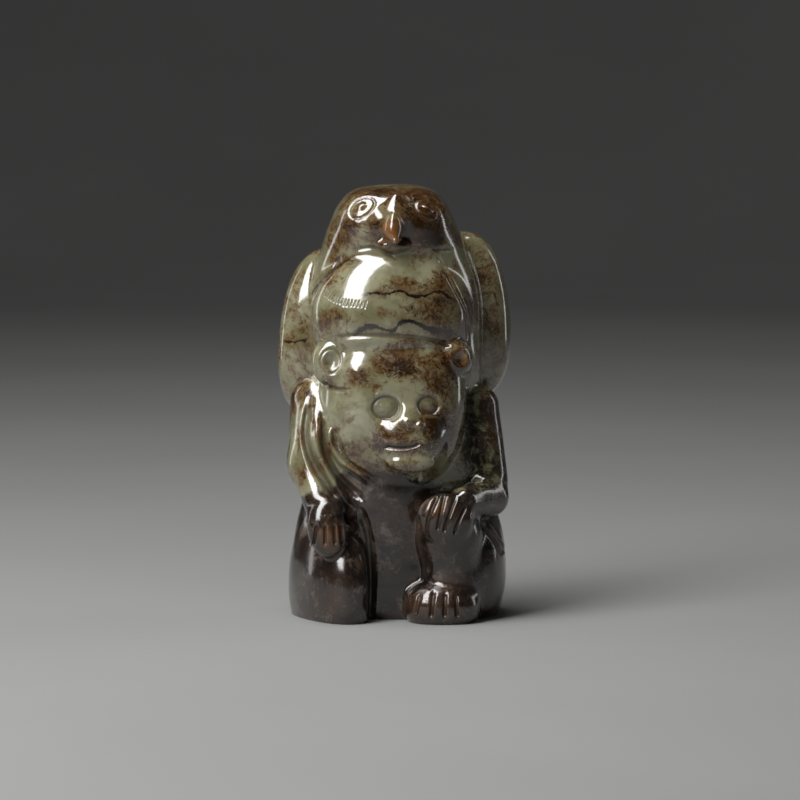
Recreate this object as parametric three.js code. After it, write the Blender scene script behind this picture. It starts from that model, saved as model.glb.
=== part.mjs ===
// Small jade carving in one piece: a seated bear with a bird standing on its head.
// The bear's left leg (as seen) is folded on the ground with a paw on it. Its right knee
// is drawn up under the other paw. The bird's breast overhangs the bear's forehead, and
// its two wings stand out on both sides. Millimetres, +Z up, the face looks along -Y.
import * as THREE from "three";
import { SimplifyModifier } from "three/addons/modifiers/SimplifyModifier.js";

const PART_NAME = "bear_and_bird_carving";
const WIDTH = 36.6; // across both wings
const DEPTH = 27; // beak and right foot to the back of the tail
const HEIGHT = 66.5; // ground to the top of the bird's head
const CELL = 0.42; // spacing of the grid the surface is found on
const BLOCK = 4; // grid points looked at together
const TRIANGLES = 9300; // what the finished surface keeps
const SEEN_SLOPE = 0.0875; // front lines are drawn as seen from slightly above
const SEEN_FROM = 650; // and from this far away
const SEEN_MID = 33.5; // at this height
const JADE_COLOUR = 0x7d7a5c;

// The bear's body: ribs, belly and chest, and the seat it rests on.
const TORSO = [
  egg("ribs", [0.3, 1.5, 23.0], [14.0, 9.6, 18.0], [0, 0, 0], 2.3, 0),
  egg("seat", [0.5, 2.8, 10.0], [16.4, 9.6, 12.0], [0, 0, 0], 2.4, 4),
  egg("rump", [0.8, 1.8, 2.5], [15.6, 8.6, 6.0], [0, 0, 0], 3.0, 2),
  egg("chest", [-1.3, -2.8, 18.0], [8.2, 6.6, 13.5], [4, 0, 0], 2.1, 1.5),
];

// The bird's body, standing on the bear's shoulders, with its head and beak.
const BIRD = [
  egg("bird body", [0.2, 1.4, 46.0], [13.3, 9.4, 13.0], [0, 0, 0], 2.3, 0),
  egg("mantle", [-0.3, 2.4, 52.3], [12.1, 8.6, 10.5], [0, 0, 0], 2.1, 3),
  egg("flanks", [0.3, 2.0, 37.5], [13.0, 8.5, 9.0], [0, 0, 0], 2.4, 3),
  egg("breast", [-0.7, -2.0, 49.9], [12.2, 8.7, 9.0], [-5, 0, 0], 2.35, 0.9),
  egg("bird head", [-0.4, -0.9, 59.1], [9.1, 8.6, 7.3], [-4, 0, 0], 2.9, 0.5),
  egg("beak", [-0.4, -8.2, 60.8], [2.7, 2.2, 2.9], [-25, 0, 0], 2.0, 0.8),
  limb("beak tip", [-0.4, -9.0, 60.8], [-0.1, -10.5, 58.9], 1.6, 0.7, 0.8),
  egg("nape", [-0.3, 2.6, 57.0], [8.9, 5.9, 7.2], [0, 0, 0], 2.2, 3),
  egg("throat", [-0.1, -8.1, 57.4], [2.8, 1.8, 1.5], [0, 0, 0], 2.0, 0.8),
];

const TAIL = [
  egg("tail", [0, 9.4, 20.5], [6.8, 3.2, 17.0], [-2, 0, 0], 3.0, 0),
];

// Two thick wings standing out on both sides.
const WINGS = [
  egg("left wing", [-11.2, 5.6, 43.6], [7.0, 4.8, 13.4], [0, 7, 4], 2.4, 0),
  egg("right wing", [11.1, 5.6, 46.4], [6.9, 4.8, 13.2], [0, -5, -4], 2.4, 0.5),
];

// The folded left leg lies on the ground, the right knee is drawn up.
const LEGS = [
  egg("left leg", [-10.1, -2.8, 7.4], [6.3, 9.8, 10.2], [-10, 0, 6], 2.35, 0),
  egg("right knee", [8.2, -6.6, 14.0], [5.0, 5.6, 5.6], [0, 0, 0], 2.3, 0.5),
  limb("right shin", [8.6, -6.6, 12.0], [9.0, -6.6, 5.0], 4.6, 4.8, 2),
  egg("right foot", [7.3, -7.4, 2.4], [6.0, 5.8, 4.2], [0, 0, 0], 2.3, 0.6),
  egg("right haunch", [11.4, 0.5, 7.5], [5.9, 9.5, 9.4], [0, 0, 0], 2.4, 0.8),
];

const ARMS = [
  limb("left upper arm", [-12.4, -1.0, 33.5], [-13.0, -3.5, 23.5], 3.9, 3.6, 0),
  limb("left forearm", [-13.1, -4.0, 24.0], [-10.8, -9.0, 17.0], 3.4, 2.7, 1.5),
  egg("left hand", [-10.4, -10.8, 14.4], [3.0, 2.3, 4.4], [0, -10, 0], 2.0, 1.2),
  limb("right upper arm", [12.6, 0.0, 32.5], [13.8, -1.5, 21.0], 3.6, 3.8, 1.0),
  limb("right forearm", [14.6, -3.5, 18.8], [10.5, -9.6, 18.6], 3.1, 2.4, 1.0),
  egg("right hand", [7.7, -11.4, 16.2], [4.3, 2.2, 3.9], [0, 30, 0], 2.0, 1.0),
];

const BEAR_HEAD = [
  egg("skull", [-0.1, -3.2, 35.4], [11.0, 8.1, 9.4], [0, 0, 0], 2.5, 0),
  egg("jaw", [-0.3, -4.4, 29.3], [10.6, 7.4, 9.4], [0, 0, 0], 2.2, 3),
  egg("muzzle", [2.2, -9.4, 28.4], [5.4, 3.9, 4.7], [0, 0, 0], 2.3, 1.4),
  egg("nose bridge", [2.0, -10.8, 31.2], [2.1, 2.2, 2.4], [0, 0, 0], 2.0, 1.0),
  egg("left nostril", [2.1, -12.6, 31.2], [1.1, 0.9, 0.7], [0, 0, 0], 2.0, 0.3),
  egg("right nostril", [3.7, -12.6, 30.6], [0.9, 0.9, 0.7], [0, 0, 0], 2.0, 0.3),
  egg("lower lip", [2.4, -11.6, 25.1], [3.7, 1.7, 1.7], [0, 0, 0], 2.0, 0.4),
  egg("left ear", [-8.8, -5.9, 39.0], [3.3, 3.0, 4.5], [0, -28, 0], 2.0, 0.4),
  egg("right ear", [8.5, -5.8, 40.4], [3.5, 2.9, 3.2], [0, 25, 0], 2.0, 0.4),
  egg("brow", [-4.9, -10.2, 38.4], [1.6, 0.9, 1.2], [0, 30, 0], 2.0, 0.5),
];

// Carving on the surface: shallow dishes (less than nothing is a swelling), rings and lines.
const CARVING = [
  dish([-5.6, -6.6, 63.9], [-0.5, -0.62, 0.6], 1.5, -0.25, 1),
  ring([-5.6, -6.6, 63.9], [-0.5, -0.62, 0.6], 1.6, 0.38, 0.22, 1),
  dish([5.2, -6.6, 63.9], [0.5, -0.62, 0.6], 1.5, -0.25, 1),
  ring([5.2, -6.6, 63.9], [0.5, -0.62, 0.6], 1.6, 0.38, 0.22, 1),
  dish([-1.3, -11.0, 33.4], [-0.1, -1, 0.1], 2.7, 0.7, 1.15),
  dish([-1.3, -11.0, 33.4], [-0.1, -1, 0.1], 1.9, -0.5, 1.15),
  ring([-1.3, -11.0, 33.4], [-0.1, -1, 0.1], 1.95, 0.35, 0.2, 1.15),
  dish([5.0, -11.0, 33.8], [0.25, -1, 0.1], 2.2, 0.5, 1.1),
  dish([5.0, -11.0, 33.8], [0.25, -1, 0.1], 1.5, -0.4, 1.1),
  ring([5.0, -11.0, 33.8], [0.25, -1, 0.1], 1.6, 0.35, 0.2, 1.1),
  dish([-9.7, -7.8, 40.2], [-0.4, -1, 0.1], 1.7, 0.8, 0.85),
  ring([-9.7, -7.8, 40.2], [-0.4, -1, 0.1], 1.6, 0.35, 0.15, 0.85),
  dish([9.9, -7.5, 40.4], [0.5, -1, 0.1], 1.5, 0.6, 1),
  line("front", [[-8.2, 56.4], [-9.9, 53.4], [-11.8, 51.3], [-12.8, 49.6]], 0.4, 0.2),
  line("front", [[6.3, 56.5], [9.7, 50.0], [11.0, 46.9], [11.3, 43.0]], 0.4, 0.2),
  line("front", [[-1.8, 26.4], [0.5, 26.1], [3.1, 26.6], [5.0, 27.6]], 0.4, 0.45),
  line("front", [[-8.8, 28.0], [-7.4, 24.2], [-4.0, 21.8]], 0.35, 0.25),
  line("front", [[-11.2, 36.6], [-9.6, 35.4], [-7.2, 35.1]], 0.5, 0.4),
  line("front", [[-13.4, 31.0], [-13.6, 26.5], [-12.0, 22.6], [-9.8, 18.6]], 1.1, 0.5),
  line("front", [[-12.3, 29.5], [-12.2, 25.8], [-10.7, 22.7], [-8.5, 19.1], [-6.9, 16.4]], 0.75, -0.5),
  line("front", [[-11.3, 29.5], [-10.9, 25.6], [-9.3, 22.6], [-7.3, 19.6]], 0.75, 0.4),
  line("front", [[-5.2, 17.0], [-4.4, 12.0], [-4.2, 6.0], [-4.3, 0.2]], 1.0, 0.7),
  line("front", [[-12.2, 14.0], [-12.7, 10.8]], 0.42, 0.5),
  line("front", [[-10.9, 14.0], [-10.9, 10.8]], 0.42, 0.5),
  line("front", [[-9.5, 14.0], [-9.4, 10.8]], 0.42, 0.5),
  line("front", [[-8.5, 14.0], [-8.3, 10.8]], 0.42, 0.5),
  line("front", [[6.7, 18.6], [5.2, 15.0], [4.9, 12.2]], 0.42, 0.5),
  line("front", [[7.7, 18.6], [7.0, 15.4], [6.6, 13.0]], 0.42, 0.5),
  line("front", [[9.4, 18.2], [8.2, 15.0], [7.6, 12.8]], 0.42, 0.5),
  line("front", [[11.0, 17.0], [9.8, 14.4], [9.2, 12.4]], 0.42, 0.5),
  line("front", [[3.9, 3.0], [3.2, -0.2]], 0.4, 0.35),
  line("front", [[6.0, 3.4], [5.6, -0.6]], 0.5, 0.6),
  line("front", [[7.8, 3.2], [7.7, -0.6]], 0.5, 0.6),
  line("front", [[9.4, 2.8], [9.7, -0.6]], 0.5, 0.6),
  line("front", [[13.6, 14.4], [15.6, 11.8], [17.2, 9.4]], 0.8, 0.5),
  line("back", [[-1.4, 33], [-1.3, 20], [-1.2, 6.5]], 0.5, 0.4),
  line("back", [[1.4, 33], [1.3, 20], [1.2, 6.5]], 0.5, 0.4),
  line("back", [[-4.1, 32], [-4.2, 20], [-3.7, 7]], 0.5, 0.4),
  line("back", [[4.1, 32], [4.2, 20], [3.7, 7]], 0.5, 0.4),
  line("back", [[-15.2, 52], [-15.9, 43], [-15.0, 35]], 0.5, 0.4),
  line("back", [[-12.0, 54], [-12.9, 44], [-12.6, 34]], 0.5, 0.4),
  line("back", [[-8.8, 54], [-9.7, 44], [-10.0, 34]], 0.5, 0.4),
  line("back", [[15.2, 55], [15.9, 46], [15.0, 38]], 0.5, 0.4),
  line("back", [[12.0, 57], [12.9, 47], [12.6, 37]], 0.5, 0.4),
  line("back", [[8.8, 57], [9.7, 47], [10.0, 37]], 0.5, 0.4),
  line("left", [[-5.0, 16.5], [2.0, 18.6], [8.0, 14.0], [9.6, 7.0]], 0.8, 0.5),
  line("right", [[-3.0, 15.8], [3.0, 18.4], [8.6, 14.0], [10.0, 7.0]], 0.8, 0.5),
];
const GROUPS = [
  [TORSO, 0],
  [BIRD, 1.0],
  [TAIL, 0.8],
  [WINGS, 0.6],
  [LEGS, 0.6],
  [ARMS, 0.7],
  [BEAR_HEAD, 0.5],
];

// Small helpers on numbers.
function ease(lo, hi, v) {
  const t = Math.min(Math.max((v - lo) / (hi - lo), 0), 1);
  return t * t * (3 - 2 * t);
}

function bump(v) {
  const t = Math.min(v, 1);
  return (1 - t * t) ** 2;
}

// The nearer of two surfaces, with a rounded inner corner where they meet.
function join(a, b, soft) {
  const h = Math.max(soft - Math.abs(a - b), 0) / Math.max(soft, 1e-6);
  return Math.min(a, b) - (h * h * soft) / 4;
}

// Egg shape: middle, half sizes, lean in degrees. Square 2 is round, more is boxier.
function egg(name, at, size, lean, square, soft) {
  const angles = lean.map((v) => THREE.MathUtils.degToRad(v));
  const euler = new THREE.Euler(...angles, "ZYX");
  const back = new THREE.Matrix4().makeRotationFromEuler(euler).transpose();
  const middle = new THREE.Vector3(...at);
  const [rx, ry, rz] = size;
  const floor = 1 / (2 * Math.max(rx, ry, rz));
  const q = new THREE.Vector3();
  function distance(p) {
    q.copy(p).sub(middle).applyMatrix4(back);
    const u = Math.max(Math.abs(q.x) / rx, 1e-6);
    const v = Math.max(Math.abs(q.y) / ry, 1e-6);
    const w = Math.max(Math.abs(q.z) / rz, 1e-6);
    const us = u ** (square - 1);
    const vs = v ** (square - 1);
    const ws = w ** (square - 1);
    const k = Math.max((us * u + vs * v + ws * w) ** (1 / square), 1e-3);
    const slope = Math.sqrt((us / rx) ** 2 + (vs / ry) ** 2 + (ws / rz) ** 2);
    return (k - 1) / Math.max(k ** (1 - square) * slope, floor);
  }
  return { name, soft, distance };
}

// Tapered limb between two points.
function limb(name, start, end, startRadius, endRadius, soft) {
  const bone = new THREE.Line3(new THREE.Vector3(...start), new THREE.Vector3(...end));
  const nearest = new THREE.Vector3();
  function distance(p) {
    const t = bone.closestPointToPointParameter(p, true);
    bone.at(t, nearest);
    return p.distanceTo(nearest) - (startRadius + (endRadius - startRadius) * t);
  }
  return { name, soft, distance };
}

// Where a point is in a view, and how far it belongs to that side.
function seen(p, facing) {
  if (facing === "front") {
    const near = 1 / (1 + p.y / SEEN_FROM);
    const w = p.z + SEEN_SLOPE * p.y;
    return [p.x * near, SEEN_MID + (w - SEEN_MID) * near, 1 - ease(-2, 3, p.y)];
  }
  if (facing === "back") return [p.x, p.z, ease(2, 5, p.y)];
  if (facing === "left") return [p.y, p.z, 1 - ease(-11, -8, p.x)];
  return [p.y, p.z, ease(8, 11, p.x)];
}

// A groove along a smooth path; its ends taper. A negative depth makes a ridge.
function line(facing, path, width, depth) {
  const knots = path.map(([a, b]) => new THREE.Vector3(a, b, 0));
  const curve = new THREE.CatmullRomCurve3(knots, false, "catmullrom", 0.5);
  const pts = knots.length < 3 ? knots : curve.getPoints((knots.length - 1) * 5);
  const box = new THREE.Box3().setFromPoints(pts).expandByScalar(width);
  const legs = pts.slice(1).map((b, i) => new THREE.Line3(pts[i], b));
  const q = new THREE.Vector3();
  const nearest = new THREE.Vector3();
  return (p) => {
    const [a, b, side] = seen(p, facing);
    q.set(a, b, 0);
    if (side <= 0 || !box.containsPoint(q)) return 0;
    let best = Infinity;
    let along = 0;
    legs.forEach((leg, i) => {
      const t = leg.closestPointToPointParameter(q, true);
      const d = leg.at(t, nearest).distanceTo(q);
      if (d >= best) return;
      best = d;
      along = (i + t) / legs.length;
    });
    const taper = 0.25 + 0.75 * ease(0, 0.12, along) * (1 - ease(0.88, 1, along));
    return depth * side * taper * bump(best / width);
  };
}

// Distance from an axis through `at` that points out of the surface.
function face(at, out, oval) {
  const axis = new THREE.Vector3(...out).normalize();
  const middle = new THREE.Vector3(...at);
  const q = new THREE.Vector3();
  return (p) => {
    q.copy(p).sub(middle);
    const up = q.dot(axis);
    q.addScaledVector(axis, -up);
    return [Math.hypot(q.x, q.y, q.z * oval), Math.abs(up)];
  };
}

function ring(at, out, radius, width, depth, oval) {
  const place = face(at, out, oval);
  return (p) => {
    const [r, up] = place(p);
    return depth * bump(Math.abs(r - radius) / width) * (1 - ease(2, 3, up));
  };
}

function dish(at, out, radius, depth, oval) {
  const place = face(at, out, oval);
  return (p) => {
    const [r, up] = place(p);
    return depth * bump(r / radius) * (1 - ease(2.5, 4, up));
  };
}

// Signed distance to the whole carving, below zero inside.
function carvingAt(p) {
  let d = Infinity;
  for (const [parts, soft] of GROUPS) {
    let g = Infinity;
    for (const part of parts) g = join(g, part.distance(p), part.soft);
    d = join(d, g, soft);
  }
  if (Math.abs(d) < 2) for (const cut of CARVING) d += cut(p);
  return Math.max(d, -p.z);
}

// The surface, found by walking a grid of small cubes, each split in six tetrahedra.
function surfaceMesh() {
  const from = new THREE.Vector3(-WIDTH / 2 - 2, -DEPTH / 2 - 3, -2 * CELL);
  const to = new THREE.Vector3(WIDTH / 2 + 2, DEPTH / 2 + 3, HEIGHT + 2.5);
  const n = to.clone().sub(from).divideScalar(CELL).ceil().addScalar(1);
  const step = [1, n.x, n.x * n.y];
  const values = new Float32Array(n.x * n.y * n.z);
  const p = new THREE.Vector3();
  const at = (i, j, k) => p.set(i, j, k).multiplyScalar(CELL).add(from);
  // First every BLOCK-th grid point, then all points of the blocks near the surface.
  for (let k = 0; k < n.z; k += BLOCK)
    for (let j = 0; j < n.y; j += BLOCK)
      for (let i = 0; i < n.x; i += BLOCK) {
        at(i + BLOCK / 2, j + BLOCK / 2, k + BLOCK / 2);
        const middle = carvingAt(p);
        const near = Math.abs(middle) < CELL * BLOCK * 1.3;
        for (let c = k; c < Math.min(k + BLOCK, n.z); c++)
          for (let b = j; b < Math.min(j + BLOCK, n.y); b++)
            for (let a = i; a < Math.min(i + BLOCK, n.x); a++) {
              const here = a + b * step[1] + c * step[2];
              values[here] = (near ? carvingAt(at(a, b, c)) : middle) || 1e-6;
            }
      }
  const corner = [0, 1, 2, 3, 4, 5, 6, 7].map(
    (c) => (c & 1) * step[0] + ((c >> 1) & 1) * step[1] + ((c >> 2) & 1) * step[2],
  );
  const orders = [
    [1, 2, 4],
    [2, 4, 1],
    [4, 1, 2],
    [2, 1, 4],
    [1, 4, 2],
    [4, 2, 1],
  ];
  const tetras = orders.map(([a, b], i) => [0, a, a | b, 7, i < 3]);
  const positions = [];
  const index = [];
  const made = new Map();
  const place = (g) => {
    const k = Math.floor(g / step[2]);
    const j = Math.floor((g - k * step[2]) / step[1]);
    return at(g - k * step[2] - j * step[1], j, k).clone();
  };
  const crossing = (a, b) => {
    const key = a < b ? a * values.length + b : b * values.length + a;
    if (!made.has(key)) {
      const [lo, hi] = a < b ? [a, b] : [b, a];
      const t = values[lo] / (values[lo] - values[hi]);
      const q = place(lo).lerp(place(hi), THREE.MathUtils.clamp(t, 0.06, 0.94));
      made.set(key, positions.length / 3);
      positions.push(q.x, q.y, q.z);
    }
    return made.get(key);
  };
  for (let k = 0; k < n.z - 1; k++)
    for (let j = 0; j < n.y - 1; j++)
      for (let i = 0; i < n.x - 1; i++) {
        const base = i * step[0] + j * step[1] + k * step[2];
        const inside = corner.filter((c) => values[base + c] < 0).length;
        if (inside === 0 || inside === 8) continue;
        for (const [c0, c1, c2, c3, even] of tetras) {
          const t = [c0, c1, c2, c3].map((c) => base + corner[c]);
          addTetra(t, even, values, crossing, index);
        }
      }
  const mesh = new THREE.BufferGeometry();
  mesh.setAttribute("position", new THREE.Float32BufferAttribute(positions, 3));
  mesh.setIndex(index);
  return mesh;
}

// The triangles of one tetrahedron, all facing out.
function addTetra(t, even, values, crossing, index) {
  const inner = [0, 1, 2, 3].filter((c) => values[t[c]] < 0);
  const outer = [0, 1, 2, 3].filter((c) => values[t[c]] >= 0);
  if (inner.length === 0 || outer.length === 0) return;
  const order = [...inner, ...outer];
  let swaps = 0;
  for (let a = 0; a < 4; a++)
    for (let b = a + 1; b < 4; b++) if (order[a] > order[b]) swaps++;
  const flip = (swaps % 2 === 0) !== even;
  const e = (a, b) => crossing(t[order[a]], t[order[b]]);
  const faces = [];
  if (inner.length === 1) faces.push([e(0, 1), e(0, 2), e(0, 3)]);
  if (inner.length === 3) faces.push([e(0, 3), e(1, 3), e(2, 3)]);
  if (inner.length === 2) {
    faces.push([e(0, 2), e(0, 3), e(1, 3)]);
    faces.push([e(0, 2), e(1, 3), e(1, 2)]);
  }
  for (const [a, b, c] of faces) index.push(...(flip ? [a, c, b] : [a, b, c]));
}

// Each point moved half way to the middle of its neighbours, then most of the way back,
// which takes the grid's steps out of the creases and keeps the size.
function evenOut(mesh, share) {
  const place = mesh.attributes.position.array;
  const sum = new Float32Array(place.length);
  const count = new Uint16Array(place.length / 3);
  const faces = mesh.index.array;
  for (let i = 0; i < faces.length; i++) {
    const a = faces[i];
    const b = faces[i % 3 === 2 ? i - 2 : i + 1];
    for (let k = 0; k < 3; k++) sum[a * 3 + k] += place[b * 3 + k];
    count[a]++;
  }
  for (let i = 0; i < place.length; i++) {
    if (i % 3 === 2 && place[i] < 0.3 * CELL) continue;
    place[i] += share * (sum[i] / count[Math.floor(i / 3)] - place[i]);
  }
}

const full = surfaceMesh();
for (const share of [0.5, -0.42, 0.5, -0.42]) evenOut(full, share);
const vertices = full.attributes.position.count;
const spare = Math.round(vertices * (1 - TRIANGLES / (full.index.count / 3)));
const geometry = await new SimplifyModifier().modify(full, spare);

// The foot of the carving is ground flat.
const points = geometry.attributes.position;
for (let i = 0; i < points.count; i++) if (points.getZ(i) < 0.3 * CELL) points.setZ(i, 0);

// Standing on the ground plane, over the middle of its own outline.
geometry.computeBoundingBox();
const box = geometry.boundingBox;
geometry.translate(-(box.min.x + box.max.x) / 2, -(box.min.y + box.max.y) / 2, -box.min.z);
geometry.computeVertexNormals();

const jade = new THREE.MeshStandardMaterial({
  name: "mottled_green_and_brown_jade",
  color: JADE_COLOUR,
  roughness: 0.22,
});
const carving = new THREE.Mesh(geometry, jade);
carving.name = PART_NAME;

const group = new THREE.Group();
group.name = "jade_carving";
group.add(carving);

export default group;
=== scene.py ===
"""A small polished jade carving: a seated bear with a bird on its head.

The stone is one solid. Its form is written as rounded parts that melt into each other, in
millimetres: x to the right, y to the back, z up. Shallow carving is then cut into the surface.
"""
import math

import bpy
import numpy as np
from mathutils import Matrix, Vector


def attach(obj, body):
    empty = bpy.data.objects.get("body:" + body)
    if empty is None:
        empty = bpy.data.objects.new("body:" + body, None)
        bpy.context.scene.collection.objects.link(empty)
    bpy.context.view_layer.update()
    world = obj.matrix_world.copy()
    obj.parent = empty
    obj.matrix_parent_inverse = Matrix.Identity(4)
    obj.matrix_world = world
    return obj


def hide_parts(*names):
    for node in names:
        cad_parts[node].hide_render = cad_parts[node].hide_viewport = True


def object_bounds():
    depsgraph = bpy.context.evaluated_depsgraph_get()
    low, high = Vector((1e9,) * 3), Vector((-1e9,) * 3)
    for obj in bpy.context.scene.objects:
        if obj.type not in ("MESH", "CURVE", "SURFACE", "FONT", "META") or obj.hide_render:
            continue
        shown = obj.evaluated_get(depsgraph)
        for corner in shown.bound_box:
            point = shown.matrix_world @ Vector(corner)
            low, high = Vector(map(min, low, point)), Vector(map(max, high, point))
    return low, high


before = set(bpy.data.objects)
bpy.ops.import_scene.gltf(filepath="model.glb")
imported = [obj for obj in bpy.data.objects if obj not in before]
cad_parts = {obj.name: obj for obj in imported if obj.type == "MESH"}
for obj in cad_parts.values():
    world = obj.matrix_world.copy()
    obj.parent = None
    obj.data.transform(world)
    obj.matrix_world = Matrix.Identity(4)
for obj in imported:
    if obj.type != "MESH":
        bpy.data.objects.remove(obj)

bl_info = {
    "name": "Jade bear and bird",
    "version": (1, 0, 0),
    "blender": (4, 5, 0),
    "location": "View3D > Sidebar > Jade",
    "description": "Builds a small jade carving of a seated bear with a bird on its head",
    "category": "Add Mesh",
}

CAD_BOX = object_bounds()
NODE = "bear_and_bird_carving"
BODY = "root"
PIECE = "bear_and_bird"
MM = 0.001
F = np.float32

# The drawing plane of the front lines: the surface as seen from the front and a little above.
SEEN_SLOPE = 0.0875
SEEN_FROM = 650.0
SEEN_MID = 33.5

# The size of the triangles, in millimetres.
CELL = 0.45
BLOCK = 4
BENT = 10.0
SHORTEST = 0.15
STROKE_EDGE = 0.17
ROUNDS = 3
REACH = ((-21, -16, -1), (21, 16, 69))


# Rounded parts, and how they melt into each other.


def turned(degrees):
    """The turn about x, then y, then z, as a 3 by 3 table."""
    ax, ay, az = np.radians(degrees)
    cx, sx, cy, sy, cz, sz = np.cos(ax), np.sin(ax), np.cos(ay), np.sin(ay), np.cos(az), np.sin(az)
    rx = np.array([[1, 0, 0], [0, cx, -sx], [0, sx, cx]])
    ry = np.array([[cy, 0, sy], [0, 1, 0], [-sy, 0, cy]])
    rz = np.array([[cz, -sz, 0], [sz, cz, 0], [0, 0, 1]])
    return (rz @ ry @ rx).astype(F)


def egg(name, at, size, lean, square, soft):
    """An egg: its middle, half sizes, lean in degrees, squareness, and how softly it joins."""
    r, c, turn = np.array(size, F), np.array(at, F), turned(lean)
    floor = 1 / (2.0 * max(size))

    def distance(p):
        q = np.abs((p - c) @ turn) / r
        k = np.maximum((q ** square).sum(1) ** (1 / square), 1e-3)
        slope = k ** (1 - square) * np.sqrt(((q ** (square - 1) / r) ** 2).sum(1))
        return (k - 1) / np.maximum(slope, floor)

    return distance, soft


def limb(name, start, end, r0, r1, soft):
    """A round limb that tapers from one radius to another."""
    a = np.array(start, F)
    ab = np.array(end, F) - a

    def distance(p):
        t = np.clip((p - a) @ ab / (ab @ ab), 0, 1)
        return np.linalg.norm(p - a - t[:, None] * ab, axis=1) - (r0 + (r1 - r0) * t)

    return distance, soft


def join(a, b, soft):
    h = np.maximum(soft - np.abs(a - b), 0) / max(soft, 1e-6)
    return np.minimum(a, b) - h * h * soft / 4


def ease(low, high, v):
    t = np.clip((v - low) / (high - low), 0, 1)
    return t * t * (3 - 2 * t)


def bump(v):
    v = np.clip(v, 0, 1)
    return (1 - v * v) ** 2


# Shallow carving, added to the distance from the surface.


def seen(p, facing):
    """A point's place in a drawing plane, and how far it belongs to that side."""
    if facing == "front":
        near = 1 / (1 + p[:, 1] / SEEN_FROM)
        w = p[:, 2] + SEEN_SLOPE * p[:, 1]
        return np.stack([p[:, 0] * near, SEEN_MID + (w - SEEN_MID) * near], 1), 1 - ease(-2, 3, p[:, 1])
    if facing == "back":
        return p[:, [0, 2]], ease(2, 5, p[:, 1])
    if facing == "left":
        return p[:, [1, 2]], 1 - ease(-11, -8, p[:, 0])
    return p[:, [1, 2]], ease(8, 11, p[:, 0])


def smooth_path(points, steps=5):
    pts = [np.array(v, float) for v in points]
    if len(pts) < 3:
        return pts
    pts = [2 * pts[0] - pts[1], *pts, 2 * pts[-1] - pts[-2]]
    out = []
    for i in range(1, len(pts) - 2):
        a, b, c, d = pts[i - 1:i + 3]
        for t in np.arange(steps) / steps:
            out.append(0.5 * (2 * b + (c - a) * t + (2 * a - 5 * b + 4 * c - d) * t * t
                              + (3 * b - a - 3 * c + d) * t ** 3))
    return [*out, pts[-2]]


def line(facing, path, width, depth):
    """A line cut into one side; less than no depth raises a ridge. Its ends run out."""
    pts = np.array(smooth_path(path), F)
    lo, hi = pts.min(0) - width, pts.max(0) + width
    n = len(pts) - 1

    def cut(p, d):
        q, side = seen(p, facing)
        m = np.all((q > lo) & (q < hi), axis=1) & (side > 0)
        if not m.any():
            return d
        q = q[m]
        best = np.full(len(q), 1e9, F)
        along = np.zeros(len(q), F)
        for i in range(n):
            a, ab = pts[i], pts[i + 1] - pts[i]
            t = np.clip((q - a) @ ab / (ab @ ab), 0, 1)
            dist = np.linalg.norm(q - a - t[:, None] * ab, axis=1)
            closer = dist < best
            best = np.where(closer, dist, best)
            along = np.where(closer, (i + t) / n, along)
        taper = 0.25 + 0.75 * ease(0, 0.12, along) * (1 - ease(0.88, 1, along))
        out = d.copy()
        out[m] += depth * side[m] * taper * bump(best / width)
        return out

    return cut


def face(at, out, oval, lean):
    """Distance from an axis that points out of the surface, for ovals that lean."""
    n = np.array(out, F)
    n /= np.linalg.norm(n)
    middle = np.array(at, F)
    c, s = math.cos(math.radians(lean)), math.sin(math.radians(lean))

    def place(p):
        q = p - middle
        up = q @ n
        flat = q - up[:, None] * n
        a, b = flat[:, 0] * c + flat[:, 2] * s, flat[:, 2] * c - flat[:, 0] * s
        return np.sqrt(a ** 2 + flat[:, 1] ** 2 + (b * oval) ** 2), up

    return place


def ring(at, out, radius, width, depth, oval, lean=0):
    """A round line, as around an eye."""
    place = face(at, out, oval, lean)

    def cut(p, d):
        r, up = place(p)
        return d + depth * bump(np.abs(r - radius) / width) * (1 - ease(2.0, 3.0, np.abs(up)))

    return cut


def dish(at, out, radius, depth, oval, lean=0):
    """A round hollow; less than no depth is a swelling."""
    place = face(at, out, oval, lean)

    def cut(p, d):
        r, up = place(p)
        return d + depth * bump(r / radius) * (1 - ease(2.5, 4.0, np.abs(up)))

    return cut


## The parts, the same as in the solid.


TORSO = [
    egg("ribs", [0.3, 1.5, 23.0], [14.0, 9.6, 18.0], [0, 0, 0], 2.3, 0),
    egg("seat", [0.5, 2.8, 10.0], [16.4, 9.6, 12.0], [0, 0, 0], 2.4, 4),
    egg("rump", [0.8, 1.8, 2.5], [15.6, 8.6, 6.0], [0, 0, 0], 3.0, 2),
    egg("chest", [-1.3, -2.8, 18.0], [8.2, 6.6, 13.5], [4, 0, 0], 2.1, 1.5),
]

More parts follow.
